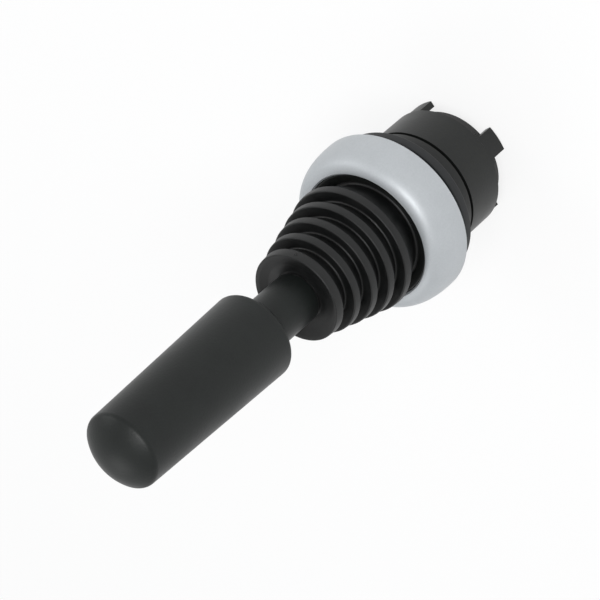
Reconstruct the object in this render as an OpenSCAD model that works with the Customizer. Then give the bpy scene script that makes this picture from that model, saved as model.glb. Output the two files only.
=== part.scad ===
// Two-axis joystick operator for a control panel, in millimetres.
// +Z runs along the lever. The origin is the centre of the gasket's rear face, which seats on the panel.

/* [Handle] */
// Diameter of the grip at its shoulder
grip_base_d = 14.8; // [12:0.2:18]
// Diameter of the grip at its tip
grip_tip_d = 13; // [11:0.2:17]
// Length of the grip from its shoulder to the top of the dome
grip_len = 35; // [30:1:50]
// Height of the domed tip
dome_h = 2.7; // [1.6:0.1:4]
// Rounding of the tip's edge
tip_round = 1.2; // [0.6:0.1:1.6]
// Rounding of the grip's shoulder
shoulder_round = 0.8; // [0.3:0.1:1.2]
// Diameter of the neck
neck_d = 8.5; // [8:0.1:10]
// Length of the neck between the bellows' collar and the shoulder
neck_len = 11.3; // [8:0.1:14]
// Diameter of the threaded insert in the grip
insert_d = 7; // [6.4:0.1:8]
// Length of the threaded insert
insert_len = 15; // [10:1:20]
// Depth of the insert's lower end inside the grip, from the shoulder
insert_depth = 3.5; // [2:0.5:6]

/* [Shaft and joint] */
// Diameter of the lever shaft
shaft_d = 5; // [4.6:0.1:5.4]
// Diameter of the shaft where it passes the hub and the rocker plate, and of its thread
shaft_foot_d = 4; // [3.6:0.1:4.2]
// Tilt of the lever each way on each axis, in degrees
tilt_max = 15; // [10:1:15]
// Diameter of the hub's ball
hub_d = 7.8; // [7.4:0.1:8]
// Wall thickness of the gimbal ring
ring_wall = 2; // [1.6:0.1:2.2]
// Height of the gimbal ring
ring_h = 3.2; // [2.6:0.1:3.4]
// Diameter of the two pins that carry the gimbal ring
ring_pin_d = 1.8; // [1.4:0.1:1.9]
// Diameter of the pin that crosses the hub
cross_pin_d = 1.6; // [1.2:0.1:1.8]
// Height of the hub between its flat faces
hub_h = 4.8; // [4.4:0.1:5]
// Thickness of the plate that limits the tilt
limit_plate_t = 1.2; // [0.8:0.1:1.6]

/* [Rocker and plungers] */
// Thickness of the rocker plate
rocker_t = 1.2; // [1:0.1:1.5]
// Distance of each plunger's centre from the wall of the housing's sleeve
plunger_inset = 2; // [1.9:0.05:2.2]
// Width of each rocker arm
arm_w = 3.4; // [3:0.1:3.6]
// Diameter of the plunger's stem
stem_d = 2.4; // [2:0.1:2.6]
// Diameter of the plunger's head
plunger_head_d = 3.4; // [3.2:0.1:3.6]
// Thickness of the plunger's head
plunger_head_t = 1; // [0.8:0.1:1.4]
// Length of the plunger that shows behind the guide
plunger_reach = 1.2; // [0.5:0.1:3]
// Wire diameter of the return springs
wire_d = 0.36; // [0.3:0.02:0.4]
// Turns of each return spring
spring_turns = 6; // [4:1:7]

/* [Bellows] */
// Number of rims on the bellows
rims = 5; // [3:1:7]
// Distance from one rim to the next
rim_pitch = 3.44; // [3.2:0.1:4.4]
// Width of each rim
rim_w = 1.4; // [1:0.1:1.7]
// Width of the foremost rim
front_rim_w = 1.7; // [1.2:0.1:2]
// Step from the bezel's mouth to the rim next to it
rim_step = 0.25; // [0.2:0.05:0.6]
// Diameter of the foremost rim
front_rim_d = 15.84; // [15.6:0.2:18]
// Depth of the folds between the rims
fold_depth = 3; // [2:0.1:3.2]
// Depth of the cup in the front face of each rim
cup_depth = 1.2; // [0.6:0.1:1.4]
// Wall thickness of the bellows
bellows_wall = 0.8; // [0.6:0.1:0.9]
// Height from the clamp ring to the first rim
base_fold_h = 4.1; // [3:0.1:6]
// Diameter of the bellows' collar on the shaft
collar_d = 7.2; // [6.8:0.1:7.6]
// Height of the collar in front of the foremost rim's web
collar_h = 0.6; // [0.4:0.1:2]
// Depth of the dish in the foremost rim's face
dish_depth = 1.3; // [0.6:0.1:1.4]

/* [Bezel] */
// Outside diameter of the bezel
bezel_d = 29.7; // [29.2:0.1:32]
// Diameter of the bezel's mouth
mouth_d = 23.1; // [22.9:0.1:23.5]
// Height of the bezel
bezel_h = 7.3; // [7:0.1:7.5]
// Wall of the bezel's skirt round the housing's flange
skirt_wall = 1.75; // [1.6:0.05:2]
// Fullness of the bezel's curve, where 1 is an ellipse and less is fuller
bezel_fullness = 0.78; // [0.7:0.02:1]

/* [Panel seat] */
// Diameter of the barrel that passes through the panel
barrel_d = 21.8; // [21.7:0.1:22.1]
// Length of the barrel in front of the parting groove
front_barrel_len = 3.9; // [3.6:0.1:5]
// Width of the parting groove
groove_w = 0.6; // [0.3:0.1:1]
// Length of the barrel behind the parting groove
rear_barrel_len = 8; // [7.6:0.2:12]
// Wall thickness of the barrel
barrel_wall = 1.4; // [1.2:0.1:1.5]
// Width of the panel gasket's band
gasket_w = 2.4; // [2:0.1:3]
// Thickness of the panel gasket
gasket_t = 1.8; // [1.2:0.1:2.4]
// Thickness of the housing's flange
flange_t = 2.6; // [2.4:0.1:3]

/* [Rear end] */
// Width of each bayonet tab
tab_w = 4.3; // [3:0.1:6]
// Length of each bayonet tab
tab_len = 3.8; // [2:0.1:5]
// Step from the barrel's wall to the outside of each tab
tab_step = 0.35; // [0.3:0.05:0.6]
// Step from the barrel's inner wall to the spigot between the tabs
spigot_step = 0.3; // [0.2:0.1:0.8]
// Length of the spigot behind the barrel
spigot_len = 2.8; // [2.4:0.1:4]
// Diameter of the guide screws
guide_screw_d = 2; // [1.6:0.1:2.2]

/* [Hidden] */
$fn = 96;
small = 0.01;
over = 1;

// Clearances
run_gap = 0.03;
pin_gap = 0.02;
fit_gap = 0.1;
move_gap = 0.3;
rocker_gap = 0.15;

// Barrel
barrel_r = barrel_d / 2;
cavity_r = barrel_r - barrel_wall;
sleeve_wall = 1.2;
sleeve_r = cavity_r - fit_gap;
sleeve_in_r = sleeve_r - sleeve_wall;
spigot_r = cavity_r - spigot_step;
plunger_pos = sleeve_in_r - plunger_inset;
groove_z = -front_barrel_len;
rear_top_z = groove_z - groove_w;
rear_z = rear_top_z - rear_barrel_len;
barrel_edge = 0.4;
gasket_step = 0.4;
gasket_seat_r = barrel_r - gasket_step;
gasket_in_r = barrel_r + fit_gap;
gasket_r = gasket_in_r + gasket_w;

// Flange and joint
skirt_r = bezel_d / 2 - skirt_wall;
flange_r = skirt_r - fit_gap;
flange_z = gasket_t + flange_t;
pivot_z = gasket_t + flange_t / 2;
hub_r = hub_d / 2;
ring_in_r = hub_r + move_gap;
ring_r = ring_in_r + ring_wall;
boss_skin = 0.5;
boss_side = 1.2;
boss_h = ring_pin_d + 2 * boss_skin;
boss_w = ring_pin_d + 2 * boss_side;
boss_in_r = ring_r + move_gap;
ring_pin_in_r = ring_in_r + move_gap;
ring_pin_out_r = flange_r - fit_gap;

// Plate that limits the tilt
ring_sweep = ring_r * sin(tilt_max) + ring_h / 2 * cos(tilt_max);
limit_z = pivot_z + ring_sweep + move_gap;
limit_top_z = limit_z + limit_plate_t;
limit_half = (limit_top_z - pivot_z) * tan(tilt_max) / cos(tilt_max)
    + shaft_d / 2 * sqrt(1 + pow(tan(tilt_max) / cos(tilt_max), 2)) + rocker_gap;
limit_corner = 1.4;

// Housing neck, bellows flange and clamp ring
mouth_r = mouth_d / 2;
neck_top_r = mouth_r - fit_gap;
seat_wall = 1.2;
seat_r = neck_top_r - seat_wall;
seat_depth = 0.8;
bellows_flange_t = 1.2;
seat_top_z = limit_top_z + seat_depth;
bellows_flange_z = limit_top_z + bellows_flange_t;
clamp_t = 1.2;
clamp_top_z = bellows_flange_z + clamp_t;
flange_step = 0.9;
clamp_in_r = seat_r - flange_step;
base_fold_r = clamp_in_r - flange_step;

// Bezel
bezel_proud = 0.45;
bezel_top_z = clamp_top_z + bezel_proud;
bezel_z = bezel_top_z - bezel_h;
mouth_lip = 0.3;
bezel_steps = 18;

// Bellows
first_rim_z = clamp_top_z + base_fold_h;
base_rim_r = mouth_r - rim_step;
rim_slope = rim_pitch * (rims - 1);
face_z = first_rim_z + rim_slope + front_rim_w;
web_z = face_z - dish_depth;
collar_top_z = web_z + collar_h;
rim_cone = 0.14;

// Handle
neck_z = collar_top_z + fit_gap;
shoulder_z = neck_z + neck_len;
apex_z = shoulder_z + grip_len;
insert_z = shoulder_z + insert_depth;
insert_top_z = insert_z + insert_len;
thread_room = 1.5;
thread_len = insert_len - thread_room;

// Rocker plate
rocker_room = 0.95;
rocker_top_z = pivot_z - ring_sweep - rocker_room;
rocker_z = rocker_top_z - rocker_t;
pad_h = 0.55;
cam_r = pivot_z - rocker_z + pad_h;
rocker_boss_step = 1;
rocker_boss_r = ring_in_r - rocker_boss_step;
shaft_end_z = rocker_z + move_gap;
arm_room = 1.6;
washer_t = 0.4;
washer_r = 2.5;
rocker_screw_r = 1.2;
rocker_head_r = 2.4;
rocker_head_h = 1.4;

// Guide, plungers and springs
lip_t = 0.8;
lip_in_r = sleeve_in_r;
flange_depth = 2.2;
guide_flange_top_z = rear_z + flange_depth;
lip_top_z = guide_flange_top_z + lip_t;
sleeve_end_z = lip_top_z + fit_gap;
lip_reach = 1;
guide_top_z = sleeve_end_z + lip_reach;
guide_z = rear_z - spigot_len;
pocket_depth = 1.6;
spring_pocket = 0.8;
spring_seat_z = guide_top_z - spring_pocket;
plunger_top_z = pivot_z - cam_r - rocker_gap;
plunger_head_z = plunger_top_z - plunger_head_t;
spring_r = stem_d / 2 + wire_d / 2 + fit_gap;
spring_pocket_r = spring_r + wire_d / 2 + fit_gap;
spring_steps = 12;
spring_sides = 6;

// Guide screws
screw_inset = 1.3;
screw_pos = sleeve_in_r - screw_inset;
post_wall = 0.6;
post_r = guide_screw_d / 2 + post_wall;
post_len = 4.4;
post_z = guide_top_z + fit_gap;
post_top_z = post_z + post_len;
screw_sink = 0.6;
screw_seat_z = rear_z - screw_sink;
screw_room = 0.8;
screw_top_z = post_top_z - screw_room;
head_share = 0.9;
screw_head_r = guide_screw_d * head_share;
screw_head_h = guide_screw_d * 2 / 3;

grip_colour = [0.055, 0.06, 0.06];
rubber_colour = [0.05, 0.052, 0.052];
silver_colour = [0.72, 0.73, 0.75];
housing_colour = [0.07, 0.075, 0.075];
steel_colour = [0.62, 0.63, 0.65];
brass_colour = [0.72, 0.56, 0.3];
guide_colour = [0.1, 0.1, 0.1];
plunger_colour = [0.78, 0.76, 0.7];

// Points on an arc in the half-plane of a revolved profile
function arc(r0, z0, r, from, to, steps) =
    [for (i = [0 : steps]) let (a = from + (to - from) * i / steps) [r0 + r * cos(a), z0 + r * sin(a)]];

module tube(r_out, r_in, z0, z1) {
    translate([0, 0, z0])
        difference() {
            cylinder(r = r_out, h = z1 - z0);
            translate([0, 0, -small]) cylinder(r = r_in, h = z1 - z0 + 2 * small);
        }
}

module bore(r, z0, z1) {
    translate([0, 0, z0]) cylinder(r = r, h = z1 - z0, $fn = 48);
}

module rod_x(r, x0, x1) {
    translate([x0, 0, pivot_z]) rotate([0, 90, 0]) cylinder(r = r, h = x1 - x0, $fn = 48);
}

module rod_y(r, y0, y1) {
    translate([0, y1, pivot_z]) rotate([90, 0, 0]) cylinder(r = r, h = y1 - y0, $fn = 48);
}

// Places a child at one compass point of the plunger circle
module at_plunger(angle) {
    rotate([0, 0, angle]) translate([plunger_pos, 0, 0]) children();
}

module at_screws() {
    for (angle = [45, 225])
        rotate([0, 0, angle]) translate([screw_pos, 0, 0]) children();
}

// Tapered grip with a domed tip and a neck
module handle_grip() {
    base_r = grip_base_d / 2;
    tip_r = grip_tip_d / 2;
    dome_r = (pow(tip_r, 2) + pow(dome_h, 2)) / (2 * dome_h);
    dome_z = apex_z - dome_r;
    round_z = dome_z + sqrt(pow(dome_r - tip_round, 2) - pow(tip_r - tip_round, 2));
    join = atan2(round_z - dome_z, tip_r - tip_round);
    neck_edge = 0.3;
    outline = concat(
        [[0, neck_z], [neck_d / 2 - neck_edge, neck_z], [neck_d / 2, neck_z + neck_edge],
            [neck_d / 2, shoulder_z]],
        arc(base_r - shoulder_round, shoulder_z + shoulder_round, shoulder_round, -90, 0, 6),
        arc(tip_r - tip_round, round_z, tip_round, 0, join, 8),
        arc(0, dome_z, dome_r, join + 2, 90, 12)
    );
    color(grip_colour)
        difference() {
            rotate_extrude() polygon(outline);
            bore(shaft_d / 2 + pin_gap, neck_z - over, insert_z + small);
            bore(insert_d / 2 + pin_gap, insert_z, insert_top_z + fit_gap);
        }
}

// Brass insert with two knurled bands and a waist
module grip_insert() {
    waist_share = 0.2;
    waist_len = insert_len * waist_share;
    waist_depth = 0.5;
    knurls = 24;
    knurl_depth = 0.2;
    color(brass_colour)
        difference() {
            translate([0, 0, insert_z]) cylinder(r = insert_d / 2, h = insert_len);
            tube(insert_d, insert_d / 2 - waist_depth, insert_z + (insert_len - waist_len) / 2,
                insert_z + (insert_len + waist_len) / 2);
            for (i = [0 : knurls - 1])
                rotate([0, 0, i * 360 / knurls])
                    translate([insert_d / 2, 0, insert_z - over])
                        rotate([0, 0, 45])
                            translate([-knurl_depth / 2, -knurl_depth / 2, 0])
                                cube([knurl_depth, knurl_depth, insert_len + 2 * over]);
            bore(shaft_foot_d / 2 + pin_gap, insert_z - over, insert_top_z + over);
        }
}

// Stepped shaft with a threaded top, a cross hole and a tapped foot
module lever_shaft() {
    thread_edge = 0.4;
    foot_r = shaft_foot_d / 2;
    tap_depth = 3.4;
    profile = [
        [0, shaft_end_z], [foot_r, shaft_end_z], [foot_r, pivot_z + hub_h / 2],
        [shaft_d / 2, pivot_z + hub_h / 2], [shaft_d / 2, insert_z - fit_gap],
        [foot_r, insert_z - fit_gap], [foot_r, insert_z + thread_len - thread_edge],
        [foot_r - thread_edge, insert_z + thread_len], [0, insert_z + thread_len]
    ];
    color(steel_colour)
        difference() {
            rotate_extrude() polygon(profile);
            rod_y(cross_pin_d / 2 + pin_gap, -shaft_d, shaft_d);
            bore(rocker_screw_r + pin_gap, shaft_end_z - over, shaft_end_z + tap_depth);
        }
}

// Ball-sided hub between the shaft's shoulder and the rocker plate
module pivot_hub() {
    color(steel_colour)
        difference() {
            intersection() {
                translate([0, 0, pivot_z]) sphere(r = hub_r);
                bore(hub_d, pivot_z - hub_h / 2, pivot_z + hub_h / 2);
            }
            bore(shaft_foot_d / 2 + pin_gap, pivot_z - hub_h, pivot_z + hub_h);
            rod_y(cross_pin_d / 2 + pin_gap, -hub_d, hub_d);
        }
}

module cross_pin() {
    pin_reach = ring_r - move_gap;
    color(steel_colour) rod_y(cross_pin_d / 2, -pin_reach, pin_reach);
}

// Ring that turns on the housing's pins and carries the cross pin
module gimbal_ring() {
    color(steel_colour)
        difference() {
            tube(ring_r, ring_in_r, pivot_z - ring_h / 2, pivot_z + ring_h / 2);
            rod_x(ring_pin_d / 2 + run_gap, -hub_d, hub_d);
            rod_y(cross_pin_d / 2 + run_gap, -hub_d, hub_d);
        }
}

module gimbal_pins() {
    color(steel_colour) {
        rod_x(ring_pin_d / 2, ring_pin_in_r, ring_pin_out_r);
        rod_x(ring_pin_d / 2, -ring_pin_out_r, -ring_pin_in_r);
    }
}

// Disc whose square opening stops the shaft on every side
module limit_plate() {
    side = limit_half - limit_corner;
    color(steel_colour)
        difference() {
            bore(seat_r - fit_gap, limit_z, limit_top_z);
            for (x = [-side, side], y = [-side, side])
                translate([x, y, 0]) bore(limit_corner, limit_z - over, limit_top_z + over);
            translate([-limit_half, -side, limit_z - over])
                cube([2 * limit_half, 2 * side, limit_plate_t + 2 * over]);
            translate([-side, -limit_half, limit_z - over])
                cube([2 * side, 2 * limit_half, limit_plate_t + 2 * over]);
        }
}

// Four-armed plate with a ball-faced pad over each plunger
module rocker_plate() {
    arm_end_r = arm_w / 2;
    color(steel_colour)
        difference() {
            union() {
                bore(rocker_boss_r, rocker_z, pivot_z - hub_h / 2);
                for (angle = [0, 90])
                    rotate([0, 0, angle])
                        translate([-plunger_pos, -arm_end_r, rocker_z])
                            cube([2 * plunger_pos, arm_w, rocker_t]);
                for (angle = [0 : 90 : 270])
                    at_plunger(angle) {
                        bore(arm_end_r, rocker_z, rocker_top_z);
                        intersection() {
                            translate([0, 0, pivot_z]) sphere(r = cam_r);
                            bore(arm_end_r, rocker_z - over, rocker_top_z);
                        }
                    }
            }
            bore(shaft_foot_d / 2 + pin_gap, rocker_z - over, pivot_z);
        }
}

module lock_washer() {
    split_w = 0.5;
    color(steel_colour)
        difference() {
            tube(washer_r, rocker_screw_r + fit_gap, rocker_z - washer_t, rocker_z);
            translate([0, -split_w / 2, rocker_z - over]) cube([washer_r + over, split_w, 2 * over]);
        }
}

// Slotted screw that holds the rocker plate on the shaft
module rocker_screw() {
    head_top_z = rocker_z - washer_t;
    slot_w = 0.6;
    slot_depth = 0.7;
    thread_depth = 3;
    thread_top_z = shaft_end_z + thread_depth;
    color(steel_colour)
        difference() {
            union() {
                bore(rocker_head_r, head_top_z - rocker_head_h, head_top_z);
                bore(rocker_screw_r, head_top_z - small, thread_top_z);
            }
            translate([-rocker_head_r, -slot_w / 2, head_top_z - rocker_head_h - over])
                cube([2 * rocker_head_r, slot_w, slot_depth + over]);
        }
}

// Convoluted boot: square-edged rims with a thin folded wall between them
function rim_r(i) = base_rim_r + (front_rim_d / 2 - base_rim_r) * i / (rims - 1);
function rim_z(i) = first_rim_z + rim_pitch * i;
function this_rim_w(i) = i == rims - 1 ? front_rim_w : rim_w;
function fold_z(i) = rim_z(i) + rim_w - cup_depth;

module bellows() {
    edge = 0.15;
    fold_in = fold_depth + bellows_wall * 1.6;
    rim_in = rim_cone + bellows_wall * 1.2;
    web_fillet = 0.5;
    web_end_z = web_z - 2 * bellows_wall;
    dish_r = rim_r(rims - 1) - rim_cone - edge;
    outside = concat(
        [[seat_r - fit_gap, limit_top_z], [seat_r - fit_gap, bellows_flange_z],
            [base_fold_r, bellows_flange_z]],
        [for (i = [0 : rims - 1], k = [0 : 4])
            let (r = rim_r(i), z = rim_z(i), w = this_rim_w(i), front_r = r - rim_cone)
            k == 0 ? [r - edge, z]
            : k == 1 ? [r, z + edge]
            : k == 2 ? [front_r, z + w - edge]
            : k == 3 ? [front_r - edge, z + w]
            : i < rims - 1 ? [r - fold_depth, fold_z(i)]
            : [dish_r - dish_depth, face_z - dish_depth / 2]],
        [[collar_d / 2 + web_fillet, web_z], [collar_d / 2, web_z + web_fillet],
            [collar_d / 2, collar_top_z], [shaft_d / 2 + fit_gap, collar_top_z]]
    );
    inside = concat(
        [[shaft_d / 2 + fit_gap, web_end_z], [shaft_d / 2 + bellows_wall, web_end_z],
            [rim_r(rims - 1) - rim_in, rim_z(rims - 1)]],
        [for (n = [1 : rims - 1], k = [0 : 1])
            let (i = rims - 1 - n, r = rim_r(i))
            k == 0 ? [r - fold_in, fold_z(i) - bellows_wall] : [r - rim_in, rim_z(i)]],
        [[base_fold_r - bellows_wall, bellows_flange_z], [base_fold_r - bellows_wall, limit_top_z]]
    );
    color(rubber_colour) rotate_extrude() polygon(concat(outside, inside));
}

// Ring that presses the bellows' flange on the limit plate
module clamp_ring() {
    top_edge = 0.3;
    rim_flat = 0.5;
    funnel_z = bellows_flange_z + top_edge;
    outline = [
        [clamp_in_r, bellows_flange_z], [seat_r + fit_gap, bellows_flange_z],
        [seat_r + fit_gap, seat_top_z], [neck_top_r, seat_top_z],
        [neck_top_r, clamp_top_z - top_edge], [neck_top_r - top_edge, clamp_top_z],
        [neck_top_r - rim_flat, clamp_top_z], [clamp_in_r, funnel_z]
    ];
    color(housing_colour) rotate_extrude() polygon(outline);
}

// Convex ring that hides the flange and holds the clamp ring down
module bezel_ring() {
    outer_r = bezel_d / 2;
    rear_edge = 0.3;
    crest = [for (i = [0 : bezel_steps]) let (a = 90 * i / bezel_steps) [
        mouth_r + (outer_r - mouth_r) * pow(cos(a), bezel_fullness),
        bezel_z + rear_edge + (bezel_h - rear_edge) * pow(sin(a), bezel_fullness)]];
    inner = [
        [neck_top_r - mouth_lip, clamp_top_z + fit_gap], [mouth_r, clamp_top_z + fit_gap / 2],
        [mouth_r, flange_z], [skirt_r, flange_z], [skirt_r, bezel_z], [outer_r - rear_edge, bezel_z]
    ];
    color(silver_colour) rotate_extrude() polygon(concat(crest, inner));
}

// Collar, flange and inner sleeve in one moulding, with the bosses of the gimbal pins
module front_housing() {
    arm_room_z = max(rocker_z - arm_room, groove_z + sleeve_wall);
    outline = [
        [sleeve_in_r, sleeve_end_z], [sleeve_r, sleeve_end_z], [sleeve_r, groove_z], [barrel_r, groove_z],
        [barrel_r, 0], [gasket_seat_r, 0], [gasket_seat_r, gasket_t], [flange_r, gasket_t],
        [flange_r, flange_z], [neck_top_r, flange_z],
        [neck_top_r, seat_top_z], [seat_r, seat_top_z], [seat_r, limit_z], [cavity_r, limit_z],
        [cavity_r, arm_room_z], [sleeve_in_r, arm_room_z - (cavity_r - sleeve_in_r)]
    ];
    color(housing_colour)
        difference() {
            union() {
                rotate_extrude() polygon(outline);
                for (side = [0, 180])
                    rotate([0, 0, side])
                        translate([boss_in_r, -boss_w / 2, pivot_z - boss_h / 2])
                            cube([cavity_r + barrel_wall / 2 - boss_in_r, boss_w, boss_h]);
                at_screws() {
                    bore(post_r, post_z, post_top_z);
                    translate([0, -post_r, post_z])
                        cube([sleeve_r - screw_pos - sleeve_wall / 2, 2 * post_r, post_top_z - post_z]);
                }
            }
            rod_x(ring_pin_d / 2 + pin_gap, -2 * flange_r, 2 * flange_r);
            at_screws() bore(guide_screw_d / 2 + pin_gap, post_z - over, screw_top_z + screw_room / 2);
        }
}

module panel_gasket() {
    edge = 0.25;
    outline = [
        [gasket_in_r, 0], [gasket_r - edge, 0], [gasket_r, edge],
        [gasket_r, gasket_t - edge], [gasket_r - edge, gasket_t], [gasket_in_r, gasket_t]
    ];
    color(rubber_colour) rotate_extrude() polygon(outline);
}

// Barrel behind the groove, with an inner lip and four bayonet tabs
module rear_housing() {
    foot_h = 0.5;
    foot_side = 0.8;
    outline = [
        [cavity_r, rear_z], [barrel_r - barrel_edge, rear_z], [barrel_r, rear_z + barrel_edge],
        [barrel_r, rear_top_z], [cavity_r, rear_top_z], [cavity_r, lip_top_z], [lip_in_r, lip_top_z],
        [lip_in_r, guide_flange_top_z], [cavity_r, guide_flange_top_z]
    ];
    tab_out_r = barrel_r - tab_step;
    color(housing_colour) {
        rotate_extrude() polygon(outline);
        for (angle = [0 : 90 : 270])
            rotate([0, 0, angle]) {
                intersection() {
                    tube(tab_out_r, cavity_r, rear_z - tab_len, rear_z + over);
                    translate([0, -tab_w / 2, rear_z - tab_len]) cube([barrel_d, tab_w, tab_len + over]);
                }
                intersection() {
                    tube(tab_out_r, cavity_r, rear_z - foot_h, rear_z + over);
                    translate([0, -tab_w / 2 - foot_side, rear_z - foot_h])
                        cube([barrel_d, tab_w + 2 * foot_side, foot_h + over]);
                }
            }
    }
}

// Guide for the plungers, hollowed behind, with a boss round each bore
module plunger_guide() {
    rim_wall = 1;
    boss_wall = 0.9;
    floor_z = guide_z + pocket_depth;
    outline = [
        [0, guide_z], [spigot_r - barrel_edge, guide_z], [spigot_r, guide_z + barrel_edge],
        [spigot_r, rear_z], [cavity_r - fit_gap, rear_z + fit_gap],
        [cavity_r - fit_gap, guide_flange_top_z], [lip_in_r - fit_gap, guide_flange_top_z],
        [lip_in_r - fit_gap, guide_top_z], [0, guide_top_z]
    ];
    color(guide_colour)
        difference() {
            rotate_extrude() polygon(outline);
            difference() {
                bore(spigot_r - rim_wall, guide_z - over, floor_z);
                for (angle = [0 : 90 : 270])
                    at_plunger(angle) bore(stem_d / 2 + boss_wall, guide_z - 2 * over, floor_z + over);
                at_screws() bore(screw_head_r + fit_gap + boss_wall / 2, guide_z - 2 * over, floor_z + over);
            }
            for (angle = [0 : 90 : 270])
                at_plunger(angle) {
                    bore(stem_d / 2 + run_gap, guide_z - over, guide_top_z + over);
                    bore(spring_pocket_r, spring_seat_z, guide_top_z + over);
                }
            at_screws() {
                bore(guide_screw_d / 2 + fit_gap, guide_z - over, guide_top_z + over);
                bore(screw_head_r + fit_gap, guide_z - over, screw_seat_z);
            }
        }
}

module guide_screws() {
    slot_w = 0.5;
    slot_depth = 0.5;
    color(steel_colour)
        at_screws()
            difference() {
                union() {
                    bore(guide_screw_d / 2, screw_seat_z - small, screw_top_z);
                    bore(screw_head_r, screw_seat_z - screw_head_h, screw_seat_z);
                }
                translate([-screw_head_r, -slot_w / 2, screw_seat_z - screw_head_h - over])
                    cube([2 * screw_head_r, slot_w, slot_depth + over]);
            }
}

// Push rod with a head under its rocker pad and a rounded rear end
module plunger(angle) {
    tip = 0.5;
    crown_h = 0.5;
    crown_r = 0.7;
    end_z = guide_z - plunger_reach;
    outline = [
        [0, end_z], [stem_d / 2 - tip, end_z], [stem_d / 2, end_z + tip], [stem_d / 2, plunger_head_z],
        [plunger_head_d / 2, plunger_head_z], [plunger_head_d / 2, plunger_top_z - crown_h],
        [crown_r, plunger_top_z], [0, plunger_top_z]
    ];
    color(plunger_colour) at_plunger(angle) rotate_extrude($fn = 48) polygon(outline);
}

// Coil spring between the guide and the plunger's head
module plunger_spring(angle) {
    low = spring_seat_z + wire_d / 2 + small;
    rise = plunger_head_z - spring_seat_z - wire_d - 2 * small;
    rings = spring_turns * spring_steps;
    wire = [for (i = [0 : rings], k = [0 : spring_sides - 1])
        let (a = i * 360 / spring_steps, b = k * 360 / spring_sides, r = spring_r + wire_d / 2 * cos(b))
        [r * cos(a), r * sin(a), low + rise * i / rings + wire_d / 2 * sin(b)]];
    ends = [[for (k = [spring_sides - 1 : -1 : 0]) k],
        [for (k = [0 : spring_sides - 1]) rings * spring_sides + k]];
    sides = [for (i = [0 : rings - 1], k = [0 : spring_sides - 1])
        let (p = i * spring_sides, n = (k + 1) % spring_sides)
        [p + k, p + n, p + spring_sides + n, p + spring_sides + k]];
    color(steel_colour) at_plunger(angle) polyhedron(points = wire, faces = concat(ends, sides));
}

handle_grip();
grip_insert();
lever_shaft();
pivot_hub();
cross_pin();
gimbal_ring();
gimbal_pins();
limit_plate();
rocker_plate();
lock_washer();
rocker_screw();
bellows();
clamp_ring();
bezel_ring();
front_housing();
panel_gasket();
rear_housing();
plunger_guide();
guide_screws();
plunger(0);  // plunger_east
plunger(90);  // plunger_north
plunger(180);  // plunger_west
plunger(270);  // plunger_south
plunger_spring(0);  // plunger_spring_east
plunger_spring(90);  // plunger_spring_north
plunger_spring(180);  // plunger_spring_west
plunger_spring(270);  // plunger_spring_south
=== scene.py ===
import math

import bmesh
import bpy
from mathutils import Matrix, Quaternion, Vector


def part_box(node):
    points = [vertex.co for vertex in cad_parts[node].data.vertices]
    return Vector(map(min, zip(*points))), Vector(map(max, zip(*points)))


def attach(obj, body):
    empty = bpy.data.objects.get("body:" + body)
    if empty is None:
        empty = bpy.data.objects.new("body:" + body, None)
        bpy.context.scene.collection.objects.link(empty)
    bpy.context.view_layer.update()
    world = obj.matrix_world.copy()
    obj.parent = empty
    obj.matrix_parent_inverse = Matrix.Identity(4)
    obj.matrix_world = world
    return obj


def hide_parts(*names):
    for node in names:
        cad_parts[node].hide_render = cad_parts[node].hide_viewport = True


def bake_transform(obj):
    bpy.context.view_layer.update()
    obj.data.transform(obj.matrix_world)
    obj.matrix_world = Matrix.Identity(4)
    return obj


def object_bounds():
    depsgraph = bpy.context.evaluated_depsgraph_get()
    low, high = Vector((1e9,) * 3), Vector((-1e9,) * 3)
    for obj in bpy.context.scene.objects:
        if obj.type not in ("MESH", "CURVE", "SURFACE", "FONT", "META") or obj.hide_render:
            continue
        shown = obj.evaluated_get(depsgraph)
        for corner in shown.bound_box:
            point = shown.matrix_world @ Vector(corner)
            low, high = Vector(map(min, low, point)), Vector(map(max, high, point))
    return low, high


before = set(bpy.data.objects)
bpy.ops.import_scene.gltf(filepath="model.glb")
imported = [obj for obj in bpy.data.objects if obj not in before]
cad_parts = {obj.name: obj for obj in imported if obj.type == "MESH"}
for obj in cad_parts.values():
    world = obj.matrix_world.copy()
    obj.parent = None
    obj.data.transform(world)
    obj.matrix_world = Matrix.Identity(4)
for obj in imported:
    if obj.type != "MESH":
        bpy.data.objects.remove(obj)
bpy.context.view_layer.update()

MM = 0.001
TURN = 2 * math.pi
TINY = 1e-6
UP = Vector((0, 0, 1))
SIDES = 192
FINE_SIDES = 256


def near(node):
    """Lowest and highest corner of a CAD node, in millimetres."""
    low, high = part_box(node)
    return low / MM, high / MM


# ---------------------------------------------------------------- mesh helpers
STRAIGHT = math.radians(176)
EDGE_SHARE = 0.48


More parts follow.
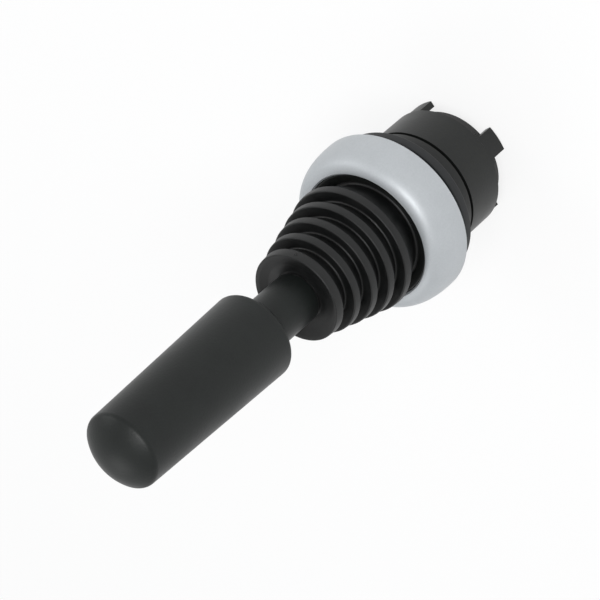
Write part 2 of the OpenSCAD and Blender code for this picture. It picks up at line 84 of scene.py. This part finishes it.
def fillet(corners, steps=5, closed=True):
    """Rounds the corners of a profile, each given by radius, height and rounding in millimetres."""
    out = []
    count = len(corners)
    for i, (x, y, rounding) in enumerate(corners):
        corner = Vector((x, y))
        before = Vector(corners[i - 1][:2]) - corner
        after = Vector(corners[(i + 1) % count][:2]) - corner
        is_end = not closed and i in (0, count - 1)
        if rounding <= 0 or is_end or before.length < TINY or after.length < TINY:
            out.append((x, y))
            continue
        before_len, after_len = before.length, after.length
        before, after = before / before_len, after / after_len
        angle = math.acos(max(-1, min(1, before.dot(after))))
        if angle > STRAIGHT:
            out.append((x, y))
            continue
        reach = min(rounding / math.tan(angle / 2), EDGE_SHARE * before_len, EDGE_SHARE * after_len)
        radius = reach * math.tan(angle / 2)
        centre = corner + (before + after).normalized() * (radius / math.sin(angle / 2))
        start = corner + before * reach - centre
        end = corner + after * reach - centre
        sweep = math.atan2(start.x * end.y - start.y * end.x, start.dot(end))
        for k in range(steps + 1):
            w = sweep * k / steps
            spoke = Vector((start.x * math.cos(w) - start.y * math.sin(w),
                            start.x * math.sin(w) + start.y * math.cos(w)))
            out.append((centre.x + spoke.x, centre.y + spoke.y))
    return out


def link(name, bm, sharp=38):
    """Makes an object of a mesh, smooth but for edges sharper than an angle in degrees."""
    bmesh.ops.recalc_face_normals(bm, faces=bm.faces)
    for face in bm.faces:
        face.smooth = True
    for edge in bm.edges:
        if len(edge.link_faces) == 2 and edge.calc_face_angle(0) > math.radians(sharp):
            edge.smooth = False
    mesh = bpy.data.meshes.new(name)
    bm.to_mesh(mesh)
    bm.free()
    obj = bpy.data.objects.new(name, mesh)
    bpy.context.scene.collection.objects.link(obj)
    return obj


def ring_faces(bm, loops, closed):
    """Joins loops of vertices, each a full turn or one vertex on the axis."""
    nexts = loops[1:] + loops[:1] if closed else loops[1:]
    for a, b in zip(loops, nexts):
        count = max(len(a), len(b))
        for k in range(count):
            j = (k + 1) % count
            if len(a) == 1 and len(b) == 1:
                continue
            if len(a) == 1:
                bm.faces.new((a[0], b[j], b[k]))
            elif len(b) == 1:
                bm.faces.new((a[k], a[j], b[0]))
            else:
                bm.faces.new((a[k], a[j], b[j], b[k]))


def capped_tube(name, bm, loops, sharp):
    """A tube through loops of vertices, closed by a face at each end."""
    ring_faces(bm, loops, False)
    bm.faces.new(loops[0][::-1])
    bm.faces.new(loops[-1])
    return link(name, bm, sharp)


def turned(name, profile, closed=True, at=(0, 0), sides=SIDES):
    """A turned solid from a profile of (radius, height) in millimetres."""
    bm = bmesh.new()
    loops = []
    for r, z in profile:
        if r < TINY:
            loops.append([bm.verts.new((at[0] * MM, at[1] * MM, z * MM))])
            continue
        loop = []
        for k in range(sides):
            w = TURN * k / sides
            x = at[0] + r * math.cos(w)
            y = at[1] + r * math.sin(w)
            loop.append(bm.verts.new((x * MM, y * MM, z * MM)))
        loops.append(loop)
    ring_faces(bm, loops, closed)
    return link(name, bm)


# ---------------------------------------------------------------- materials
NOISE_ROUGHNESS = 0.55


class Mat:
    """A node material with short names for the nodes that it is built from."""

    def __init__(self, name):
        self.mat = bpy.data.materials.new(name)
        self.mat.use_nodes = True
        self.tree = self.mat.node_tree
        self.tree.nodes.clear()
        out = self.tree.nodes.new("ShaderNodeOutputMaterial")
        self.shader = self.tree.nodes.new("ShaderNodeBsdfPrincipled")
        self.tree.links.new(self.shader.outputs[0], out.inputs["Surface"])
        self.coord = self.tree.nodes.new("ShaderNodeTexCoord").outputs["Object"]

    def finish(self, colour, roughness, normal, **constants):
        """Links the surface's three textures and sets the sockets that are the same all over it."""
        for name, source in (("Base Color", colour), ("Roughness", roughness), ("Normal", normal)):
            self.tree.links.new(source, self.shader.inputs[name])
        for name, value in constants.items():
            self.shader.inputs[name.replace("_", " ")].default_value = value
        return self.mat

    def noise(self, size_mm, detail, stretch=None):
        node = self.tree.nodes.new("ShaderNodeTexNoise")
        node.inputs["Scale"].default_value = 1 / (size_mm * MM)
        node.inputs["Detail"].default_value = detail
        node.inputs["Roughness"].default_value = NOISE_ROUGHNESS
        source = self.coord
        if stretch:
            mapping = self.tree.nodes.new("ShaderNodeMapping")
            mapping.inputs["Scale"].default_value = stretch
            self.tree.links.new(source, mapping.inputs["Vector"])
            source = mapping.outputs[0]
        self.tree.links.new(source, node.inputs["Vector"])
        return node.outputs["Fac"]

    def cells(self, size_mm):
        node = self.tree.nodes.new("ShaderNodeTexVoronoi")
        node.inputs["Scale"].default_value = 1 / (size_mm * MM)
        self.tree.links.new(self.coord, node.inputs["Vector"])
        return node.outputs["Distance"]

    def ramp(self, source, *stops):
        node = self.tree.nodes.new("ShaderNodeValToRGB")
        for element, (position, colour) in zip(node.color_ramp.elements, stops):
            element.position = position
            element.color = (*colour, 1)
        self.tree.links.new(source, node.inputs[0])
        return node.outputs[0]

    def span(self, source, low, high, source_low, source_high):
        node = self.tree.nodes.new("ShaderNodeMapRange")
        node.inputs["From Min"].default_value = source_low
        node.inputs["From Max"].default_value = source_high
        node.inputs["To Min"].default_value = low
        node.inputs["To Max"].default_value = high
        self.tree.links.new(source, node.inputs["Value"])
        return node.outputs[0]

    def maths(self, operation, *values):
        node = self.tree.nodes.new("ShaderNodeMath")
        node.operation = operation
        for socket, value in zip(node.inputs, values):
            if isinstance(value, bpy.types.NodeSocket):
                self.tree.links.new(value, socket)
            else:
                socket.default_value = value
        return node.outputs[0]

    def blend(self, first, first_share, second, second_share):
        """Two patterns added in the given shares."""
        return self.maths("ADD", self.maths("MULTIPLY", first, first_share),
                          self.maths("MULTIPLY", second, second_share))

    def bump(self, height, depth_mm):
        node = self.tree.nodes.new("ShaderNodeBump")
        node.inputs["Strength"].default_value = 1
        node.inputs["Distance"].default_value = depth_mm * MM
        self.tree.links.new(height, node.inputs["Height"])
        return node.outputs[0]


def moulded(name, dark, light, rough, grain_mm, depth_mm, level):
    """Moulded thermoplastic: fine spark-eroded grain, cloudy gloss and a little colour variation."""
    m = Mat(name)
    cloud = m.noise(7, 4)
    fine = m.noise(grain_mm, 2)
    pits = m.cells(grain_mm * 1.6)
    grain = m.maths("ADD", fine, m.maths("MULTIPLY", pits, 0.6))
    return m.finish(m.ramp(m.blend(cloud, 0.7, fine, 0.3), (0.35, dark), (0.65, light)),
                    m.span(cloud, rough - 0.05, rough + 0.05, 0.3, 0.7),
                    m.bump(grain, depth_mm),
                    Specular_IOR_Level=level)


def rubber(name, dark, light, rough, level):
    """Matt moulded rubber with a faint bloom and a fine skin texture."""
    m = Mat(name)
    bloom = m.noise(3.2, 5)
    skin = m.noise(0.16, 3)
    return m.finish(m.ramp(bloom, (0.38, dark), (0.62, light)),
                    m.span(bloom, rough - 0.06, rough + 0.06, 0.3, 0.7),
                    m.bump(skin, 0.01),
                    Specular_IOR_Level=level)


def metal(name, dark, light, rough, size_mm, stretch=(1, 1, 1)):
    """Turned or drawn metal with fine tool lines and uneven gloss."""
    m = Mat(name)
    lines = m.noise(size_mm, 3, stretch)
    cloud = m.noise(2.5, 3)
    return m.finish(m.ramp(lines, (0.3, dark), (0.7, light)),
                    m.span(cloud, rough - 0.07, rough + 0.07, 0.3, 0.7),
                    m.bump(lines, 0.004),
                    Metallic=1)


def satin_silver(name, dark, light):
    """Satin silver finish on the bezel: metallic flake under a thin matt lacquer."""
    m = Mat(name)
    flake = m.cells(0.14)
    fine = m.noise(0.3, 2)
    cloud = m.noise(9, 3)
    return m.finish(m.ramp(m.blend(cloud, 0.55, fine, 0.45), (0.3, dark), (0.7, light)),
                    m.span(flake, 0.42, 0.52, 0.0, 0.7),
                    m.bump(m.maths("ADD", flake, fine), 0.0035),
                    Metallic=0.35, Coat_Weight=0.12, Coat_Roughness=0.35)


GRIP = moulded("grip_plastic", dark=(0.008, 0.0095, 0.009), light=(0.012, 0.0145, 0.0135),
               rough=0.42, grain_mm=0.25, depth_mm=0.012, level=0.26)
HOUSING = moulded("housing_plastic", dark=(0.009, 0.010, 0.0095), light=(0.014, 0.0155, 0.0145),
                  rough=0.40, grain_mm=0.3, depth_mm=0.01, level=0.3)
GUIDE = moulded("guide_plastic", dark=(0.010, 0.010, 0.010), light=(0.016, 0.015, 0.0145),
                rough=0.46, grain_mm=0.35, depth_mm=0.012, level=0.45)
ACETAL = moulded("acetal", dark=(0.50, 0.48, 0.42), light=(0.58, 0.56, 0.50),
                 rough=0.34, grain_mm=0.5, depth_mm=0.004, level=0.5)
RUBBER = rubber("boot_rubber", dark=(0.0055, 0.006, 0.006), light=(0.009, 0.0095, 0.0095),
                rough=0.46, level=0.36)
GASKET = rubber("gasket_rubber", dark=(0.012, 0.013, 0.014), light=(0.018, 0.0195, 0.021),
                rough=0.6, level=0.4)
SILVER = satin_silver("bezel_silver", dark=(0.46, 0.485, 0.505), light=(0.53, 0.555, 0.575))
STEEL = metal("turned_steel", dark=(0.46, 0.47, 0.49), light=(0.6, 0.61, 0.63),
              rough=0.3, size_mm=0.5, stretch=(1, 1, 9))
PLATED = metal("plated_steel", dark=(0.5, 0.5, 0.5), light=(0.66, 0.66, 0.65), rough=0.32, size_mm=0.35)
WIRE = metal("spring_wire", dark=(0.42, 0.43, 0.45), light=(0.58, 0.59, 0.61), rough=0.26, size_mm=0.2)
BRASS = metal("brass", dark=(0.55, 0.38, 0.17), light=(0.72, 0.54, 0.27),
              rough=0.28, size_mm=0.5, stretch=(1, 1, 8))


def wear(obj, mat):
    """Gives an object one material."""
    obj.data.materials.clear()
    obj.data.materials.append(mat)


def dress(node, mat, bevel_mm):
    """Gives a CAD node its material and softens its edges."""
    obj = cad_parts[node]
    wear(obj, mat)
    if bevel_mm:
        bevel = obj.modifiers.new("soft_edges", "BEVEL")
        bevel.width = bevel_mm * MM
        bevel.segments = 2
        bevel.limit_method = "ANGLE"
        bevel.angle_limit = math.radians(35)
        bevel.use_clamp_overlap = True
        bevel.harden_normals = True


def piece(obj, body, slot, mat, *nodes):
    """Gives a piece its material, the body that it rides on and the CAD nodes it stands for; the slot is not
    used.
    """
    wear(obj, mat)
    if body:
        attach(obj, body)
    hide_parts(*nodes)
    return obj


# ---------------------------------------------------------------- handle
NECK_R = 4.25
TIP_R = 6.5
TIP_ROUND = 1.2
DOME_H = 2.7
SHAFT_BORE_R = 2.52
INSERT_BORE_R = 3.52
BORE_END_GAP = 0.1
INSERT_SETBACK = 3.5
TIP_STEPS = 12
DOME_STEPS = 24


def handle_profile():
    """Blind bore, neck, shoulder, tapered side and domed tip, from the axis back to the axis."""
    low, high = near("handle_grip")
    insert_low, insert_high = near("grip_insert")
    shoulder_z = insert_low.z - INSERT_SETBACK
    bore_z = insert_high.z + BORE_END_GAP
    dome_r = (TIP_R ** 2 + DOME_H ** 2) / (2 * DOME_H)
    dome_z = high.z - dome_r
    round_r = TIP_R - TIP_ROUND
    round_z = dome_z + math.sqrt((dome_r - TIP_ROUND) ** 2 - round_r ** 2)
    join = math.atan2(round_z - dome_z, round_r)
    bore = [(0, bore_z), (INSERT_BORE_R, bore_z), (INSERT_BORE_R, insert_low.z), (SHAFT_BORE_R, insert_low.z)]
    side = fillet([(SHAFT_BORE_R, shoulder_z + 1, 0), (SHAFT_BORE_R, low.z, 0.15), (NECK_R, low.z, 0.3),
                   (NECK_R, shoulder_z, 0.35), (high.x, shoulder_z, 0.8), (TIP_R, round_z, 0)],
                  8, closed=False)[1:-1]
    for k in range(TIP_STEPS + 1):
        w = join * k / TIP_STEPS
        side.append((round_r + TIP_ROUND * math.cos(w), round_z + TIP_ROUND * math.sin(w)))
    for k in range(1, DOME_STEPS):
        w = join + (math.pi / 2 - join) * k / DOME_STEPS
        side.append((dome_r * math.cos(w), dome_z + dome_r * math.sin(w)))
    return bore + side + [(0, high.z)]


piece(turned("grip", handle_profile(), closed=False, sides=FINE_SIDES), "lever", "grip", GRIP, "handle_grip")

# ---------------------------------------------------------------- bellows
boot_base, boot_top = near("bellows")
clamp_low, clamp_high = near("clamp_ring")
RIMS = 5
PITCH = 3.44
RIM_W = 1.4
FRONT_W = 1.7
FRONT_RIM_R = 7.92
FOLD = 3.0
CONE = 0.14
CUP = 1.2
DISH = 1.3
WALL = 0.8
RIM_WALL = 0.96
FOLD_WALL = 1.28
WEB_T = 1.6
SHAFT_R = 2.6
COLLAR_R = 3.6
COLLAR_GAP = 0.1
BOOT_SIDES = 224
FIRST_RIM_H = 4.1
CLAMP_LAND = 1.3
FLANGE_T = 1.2
SEAT_GAP = 0.1
CLAMP_LIP = 0.9
FOLD_GAP = 0.9
BASE_RIM_R = boot_top.x
RIM_Z = clamp_high.z + FIRST_RIM_H
FRONT_RIM_Z = RIM_Z + PITCH * (RIMS - 1)
FACE_Z = FRONT_RIM_Z + FRONT_W
WEB_Z = FACE_Z - DISH
COLLAR_Z = near("handle_grip")[0].z - COLLAR_GAP
SEAT_R = clamp_high.x - CLAMP_LAND
FLANGE_Z = boot_base.z + FLANGE_T
CLAMP_IN_R = SEAT_R + SEAT_GAP - CLAMP_LIP
BASE_FOLD_R = CLAMP_IN_R - FOLD_GAP


def rim_r(i):
    return BASE_RIM_R + (FRONT_RIM_R - BASE_RIM_R) * i / (RIMS - 1)


def rim_z(i):
    return RIM_Z + PITCH * i


def fold_z(i):
    return rim_z(i) + RIM_W - CUP


def boot_outside():
    """Outside of the boot from its flange to its collar."""
    corners = [(SEAT_R, boot_base.z, 0.1), (SEAT_R, FLANGE_Z, 0.1), (BASE_FOLD_R, FLANGE_Z, 0.4)]
    for i in range(RIMS - 1):
        corners += [(rim_r(i), rim_z(i), 0.3), (rim_r(i) - CONE, rim_z(i) + RIM_W, 0.2),
                    (rim_r(i) - FOLD, fold_z(i), 0.3)]
    face_r = FRONT_RIM_R - CONE
    return corners + [
        (FRONT_RIM_R, FRONT_RIM_Z, 0.3), (face_r, FACE_Z, 0.2), (face_r - 0.7, FACE_Z - 0.22, 0.8),
        (face_r - 2.0, FACE_Z - 0.8, 1.5), (4.2, WEB_Z, 0.5), (COLLAR_R, WEB_Z + 0.1, 0.1),
        (COLLAR_R, COLLAR_Z, 0.15), (SHAFT_R, COLLAR_Z, 0.05)]


def boot_inside():
    """Inside of the boot from its web back to its flange."""
    web_under = WEB_Z - WEB_T
    corners = [(SHAFT_R, web_under, 0), (SHAFT_R + 0.7, web_under, 0.2),
               (FRONT_RIM_R - CONE - RIM_WALL, FRONT_RIM_Z, 0.2)]
    for i in reversed(range(RIMS - 1)):
        corners += [(rim_r(i) - FOLD - FOLD_WALL, fold_z(i) - WALL, 0.3),
                    (rim_r(i) - CONE - RIM_WALL, rim_z(i), 0.3)]
    return corners + [(BASE_FOLD_R - WALL, FLANGE_Z, 0.3), (BASE_FOLD_R - WALL, boot_base.z, 0)]


def closest(chain, r, z):
    """Place in a profile of the point closest to a radius and height."""
    return min(range(len(chain)), key=lambda k: (chain[k][0] - r) ** 2 + (chain[k][1] - z) ** 2)


def boot_part(name, lower):
    """The boot below or above its first valley, where its two pieces meet, as a closed ring."""
    outside = fillet(boot_outside(), 5, closed=False)
    inside = fillet(boot_inside(), 3, closed=False)
    valley_r = rim_r(0) - FOLD
    k_out = closest(outside, valley_r, fold_z(0))
    k_in = closest(inside, valley_r - FOLD_WALL, fold_z(0) - WALL)
    ring = outside[:k_out + 1] + inside[k_in:] if lower else outside[k_out:] + inside[:k_in + 1]
    return piece(turned(name, ring, sides=BOOT_SIDES), None, "rubber", RUBBER)


def upright_blend(obj):
    """Bakes a piece's placement into its mesh."""
    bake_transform(obj)


boot_low = boot_part("boot_low", True)
boot_high = boot_part("boot_high", False)
upright_blend(boot_low)
upright_blend(boot_high)
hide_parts("bellows")

NIB_ANGLE = math.radians(-38)
NIB_STEPS = ((0.34, -0.2), (0.3, 0.05), (0.2, 0.22), (0.08, 0.3))
NIB_SIDES = 12
NIB_FLATNESS = 0.8
NIB_ROOT = 0.1
NIB_LIFT = 0.75


def nib():
    """The small moulding nib left on the edge of the foremost rim."""
    bm = bmesh.new()
    r = FRONT_RIM_R - NIB_ROOT
    z = FRONT_RIM_Z + NIB_LIFT
    cos_w, sin_w = math.cos(NIB_ANGLE), math.sin(NIB_ANGLE)
    loops = []
    for size, out in NIB_STEPS:
        loop = []
        for k in range(NIB_SIDES):
            q = TURN * k / NIB_SIDES
            side = size * math.cos(q)
            up = size * NIB_FLATNESS * math.sin(q)
            loop.append(bm.verts.new(((r + out) * cos_w * MM - side * sin_w * MM,
                                      (r + out) * sin_w * MM + side * cos_w * MM,
                                      (z + up) * MM)))
        loops.append(loop)
    return capped_tube("boot_nib", bm, loops, 60)


piece(nib(), "lever", "rubber", RUBBER)

# ---------------------------------------------------------------- clamp ring, bezel and gasket
bezel_low, bezel_high = near("bezel_ring")
MOUTH_R = 11.55
FULLNESS = 0.78
CREST_LIFT = 0.3
CREST_STEPS = 48
SKIRT_WALL = 1.75
FLANGE_ROOM = 1.1
GASKET_IN_R = 11.0


def clamp_profile():
    """A thin flat rim round a funnel that runs down to the boot's flange."""
    bore_r = SEAT_R + 0.2
    out_r, top_z = clamp_high.x, clamp_high.z
    return fillet([(CLAMP_IN_R, FLANGE_Z, 0.05), (bore_r, FLANGE_Z, 0.05), (bore_r, clamp_low.z, 0.05),
                   (out_r, clamp_low.z, 0.05), (out_r, top_z - 0.3, 0.12), (out_r - 0.3, top_z, 0.1),
                   (out_r - 0.5, top_z, 0.12), (CLAMP_IN_R, FLANGE_Z + 0.3, 0.1)], 4)


def bezel_profile():
    """A full convex face from the outer edge up to the mouth, with a hollow behind it for the flange."""
    out_r = bezel_high.x
    foot_z = bezel_low.z + CREST_LIFT
    crest = []
    for k in range(CREST_STEPS):
        w = math.pi / 2 * k / CREST_STEPS
        crest.append((MOUTH_R + (out_r - MOUTH_R) * math.cos(w) ** FULLNESS,
                      foot_z + (bezel_high.z - bezel_low.z - CREST_LIFT) * math.sin(w) ** FULLNESS))
    crest.append((MOUTH_R, bezel_high.z))
    skirt_r = out_r - SKIRT_WALL
    flange_top = bezel_low.z + FLANGE_ROOM
    inner = fillet([(*crest[-1], 0), (clamp_high.x - 0.3, clamp_high.z + 0.1, 0.1),
                    (MOUTH_R, clamp_high.z + 0.05, 0), (MOUTH_R, flange_top, 0.1), (skirt_r, flange_top, 0.1),
                    (skirt_r, bezel_low.z, 0.15), (out_r - CREST_LIFT, bezel_low.z, 0.2), (*crest[0], 0)],
                   4, closed=False)
    return crest + inner[1:-1]


def gasket_profile():
    """A flat ring from the panel's face to the flange, round at its outer edge."""
    top = near("panel_gasket")[1]
    return fillet([(GASKET_IN_R, 0, 0.1), (top.x, 0, 0.3), (top.x, top.z, 0.3), (GASKET_IN_R, top.z, 0.1)])


piece(turned("clamp_collar", clamp_profile()), "root", "housing", HOUSING, "clamp_ring")
piece(turned("bezel", bezel_profile(), sides=FINE_SIDES), "root", "bezel", SILVER, "bezel_ring")
piece(turned("gasket", gasket_profile()), "root", "gasket", GASKET, "panel_gasket")

# ---------------------------------------------------------------- plungers and springs
ROD_R = 1.2
ROD_TIP_R = 0.95
ROD_TIP_H = 0.45
HEAD_R = 1.7
HEAD_H = 1
CROWN_R = 0.7
CROWN_H = 0.5
ROD_SIDES = 48
WIRE_R = 0.18
WIRE_SIDES = 10
COILS = 6
COIL_STEPS = 36
PLUNGER_POS = near("plunger_east")[1].x - HEAD_R


def push_rod(name, at, low, high):
    """A plunger with a tapered tip, a headed top and a low crown."""
    head_z = high.z - HEAD_H
    profile = fillet([(0, low.z, 0), (ROD_TIP_R, low.z, 0.45), (ROD_R, low.z + ROD_TIP_H, 0.3),
                      (ROD_R, head_z, 0.1), (HEAD_R, head_z, 0.12), (HEAD_R, high.z - CROWN_H, 0.15),
                      (CROWN_R, high.z, 0.15), (0, high.z, 0)], closed=False)
    return turned(name, profile, closed=False, at=at, sides=ROD_SIDES)


def coil(name, at, radius, z_low, z_high):
    """A spring of round wire between two heights."""
    bm = bmesh.new()
    loops = []
    steps = COILS * COIL_STEPS
    for i in range(steps + 1):
        w = TURN * i / COIL_STEPS
        out = Vector((math.cos(w), math.sin(w), 0))
        middle = Vector((at[0] + radius * math.cos(w), at[1] + radius * math.sin(w),
                         z_low + (z_high - z_low) * (i / steps)))
        loop = []
        for k in range(WIRE_SIDES):
            q = TURN * k / WIRE_SIDES
            loop.append(bm.verts.new((middle + (out * math.cos(q) + UP * math.sin(q)) * WIRE_R) * MM))
        loops.append(loop)
    return capped_tube(name, bm, loops, 50)


for side_name, ux, uy in (("east", 1, 0), ("north", 0, 1), ("west", -1, 0), ("south", 0, -1)):
    plunger = "plunger_" + side_name
    spring = "plunger_spring_" + side_name
    at = (PLUNGER_POS * ux, PLUNGER_POS * uy)
    piece(push_rod("push_rod_" + side_name, at, *near(plunger)), plunger, "plunger", ACETAL, plunger)
    coil_low, coil_high = near(spring)
    coil_r = (coil_high.x - coil_low.x) / 2 - WIRE_R
    foot, head = coil_low.z + WIRE_R, coil_high.z - WIRE_R
    wound = piece(coil("spring_" + side_name, at, coil_r, foot, head), None, "spring", WIRE, spring)
    upright_blend(wound)

# ---------------------------------------------------------------- CAD nodes that stay
for material, dressed in (
        (HOUSING, {"front_housing": 0.1, "rear_housing": 0.14}),
        (GUIDE, {"plunger_guide": 0.12}),
        (STEEL, {"lever_shaft": 0.1, "pivot_hub": 0.1, "cross_pin": 0.08, "gimbal_ring": 0.12,
                 "gimbal_pins": 0.08}),
        (PLATED, {"guide_screws": 0.08, "limit_plate": 0.08, "rocker_plate": 0.08, "lock_washer": 0.04,
                  "rocker_screw": 0.06}),
        (BRASS, {"grip_insert": 0})):
    for node, bevel_mm in dressed.items():
        dress(node, material, bevel_mm)

# ---------------------------------------------------------------- floor, light and camera
scene = bpy.context.scene
low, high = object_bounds()
FLOOR_Z = low.z - 0.0002
FLOOR_R = 3.0
PAPER_GLOW = 0.82
AIM = Vector((-0.00065, -0.00014, low.z + 0.04569))
AZIMUTH = math.radians(-78)
ELEVATION = math.radians(39.05)
ROLL = math.radians(-131.44)
DISTANCE = 0.388
LENS = 150
SENSOR = 36


def seen(tree):
    """1 where a camera, glossy or transmission ray looks, and 0 where the surface lights the object."""
    path = tree.nodes.new("ShaderNodeLightPath")
    source = path.outputs["Is Camera Ray"]
    for ray in ("Is Glossy Ray", "Is Transmission Ray"):
        either = tree.nodes.new("ShaderNodeMath")
        either.operation = "MAXIMUM"
        tree.links.new(source, either.inputs[0])
        tree.links.new(path.outputs[ray], either.inputs[1])
        source = either.outputs[0]
    return source


def mixed(tree, share, first, second):
    """Two shaders mixed by a number or by a node's output."""
    node = tree.nodes.new("ShaderNodeMixShader")
    if isinstance(share, bpy.types.NodeSocket):
        tree.links.new(share, node.inputs[0])
    else:
        node.inputs[0].default_value = share
    tree.links.new(first, node.inputs[1])
    tree.links.new(second, node.inputs[2])
    return node.outputs[0]


def shader(tree, kind, colour=None, strength=None):
    node = tree.nodes.new(kind)
    if colour:
        node.inputs["Color"].default_value = (*colour, 1)
    if strength is not None:
        node.inputs["Strength"].default_value = strength
    return node.outputs[0]


def floor_material():
    """Pale floor that looks white and keeps the object's shadow."""
    mat = bpy.data.materials.new("floor_white")
    mat.use_nodes = True
    tree = mat.node_tree
    tree.nodes.clear()
    plain = shader(tree, "ShaderNodeBsdfDiffuse", (0.9, 0.9, 0.9))
    paper = shader(tree, "ShaderNodeBsdfDiffuse", (1, 1, 1))
    glow = shader(tree, "ShaderNodeEmission", strength=1)
    white = mixed(tree, PAPER_GLOW, paper, glow)
    out = tree.nodes.new("ShaderNodeOutputMaterial")
    tree.links.new(mixed(tree, seen(tree), plain, white), out.inputs["Surface"])
    return mat


def studio():
    """Soft light from all round, and white where it is seen."""
    world = bpy.data.worlds.new("studio")
    world.use_nodes = True
    tree = world.node_tree
    tree.nodes.clear()
    soft = shader(tree, "ShaderNodeBackground", (0.97, 0.985, 1), 0.5)
    white = shader(tree, "ShaderNodeBackground", strength=1)
    out = tree.nodes.new("ShaderNodeOutputWorld")
    tree.links.new(mixed(tree, seen(tree), soft, white), out.inputs["Surface"])
    return world


def toward(azimuth, elevation):
    """Unit vector from the object to a place round it."""
    level = math.cos(elevation)
    return Vector((math.cos(azimuth) * level, math.sin(azimuth) * level, math.sin(elevation)))


def softbox(name, azimuth, elevation, distance, size, power):
    """A round area lamp that looks at the object, placed by angles in degrees."""
    data = bpy.data.lights.new(name, "AREA")
    data.shape = "DISK"
    data.size = size
    data.energy = power
    lamp = bpy.data.objects.new(name, data)
    scene.collection.objects.link(lamp)
    way = toward(math.radians(azimuth), math.radians(elevation))
    lamp.location = AIM + way * distance
    lamp.rotation_mode = "QUATERNION"
    lamp.rotation_quaternion = (-way).to_track_quat("-Z", "Y")
    lamp.visible_camera = False


floor_mesh = bmesh.new()
bmesh.ops.create_circle(floor_mesh, cap_ends=True, segments=64, radius=FLOOR_R)
bmesh.ops.translate(floor_mesh, verts=floor_mesh.verts, vec=(0, 0, FLOOR_Z))
floor = link("floor", floor_mesh)
wear(floor, floor_material())
scene.world = studio()

camera = bpy.data.objects.new("camera", bpy.data.cameras.new("camera"))
scene.collection.objects.link(camera)
camera.data.lens = LENS
camera.data.sensor_width = SENSOR
camera.data.clip_start = 0.01
back = toward(AZIMUTH, ELEVATION)
camera.location = AIM + back * DISTANCE
camera.rotation_mode = "QUATERNION"
camera.rotation_quaternion = (-back).to_track_quat("-Z", "Y") @ Quaternion((0, 0, 1), ROLL)
scene.camera = camera

softbox("key", -84, 52, 0.5, 0.22, 1.3)
softbox("side", 20, 30, 0.6, 0.3, 0.5)
softbox("back", 120, 50, 0.6, 0.3, 0.4)

scene.view_settings.view_transform = "Standard"
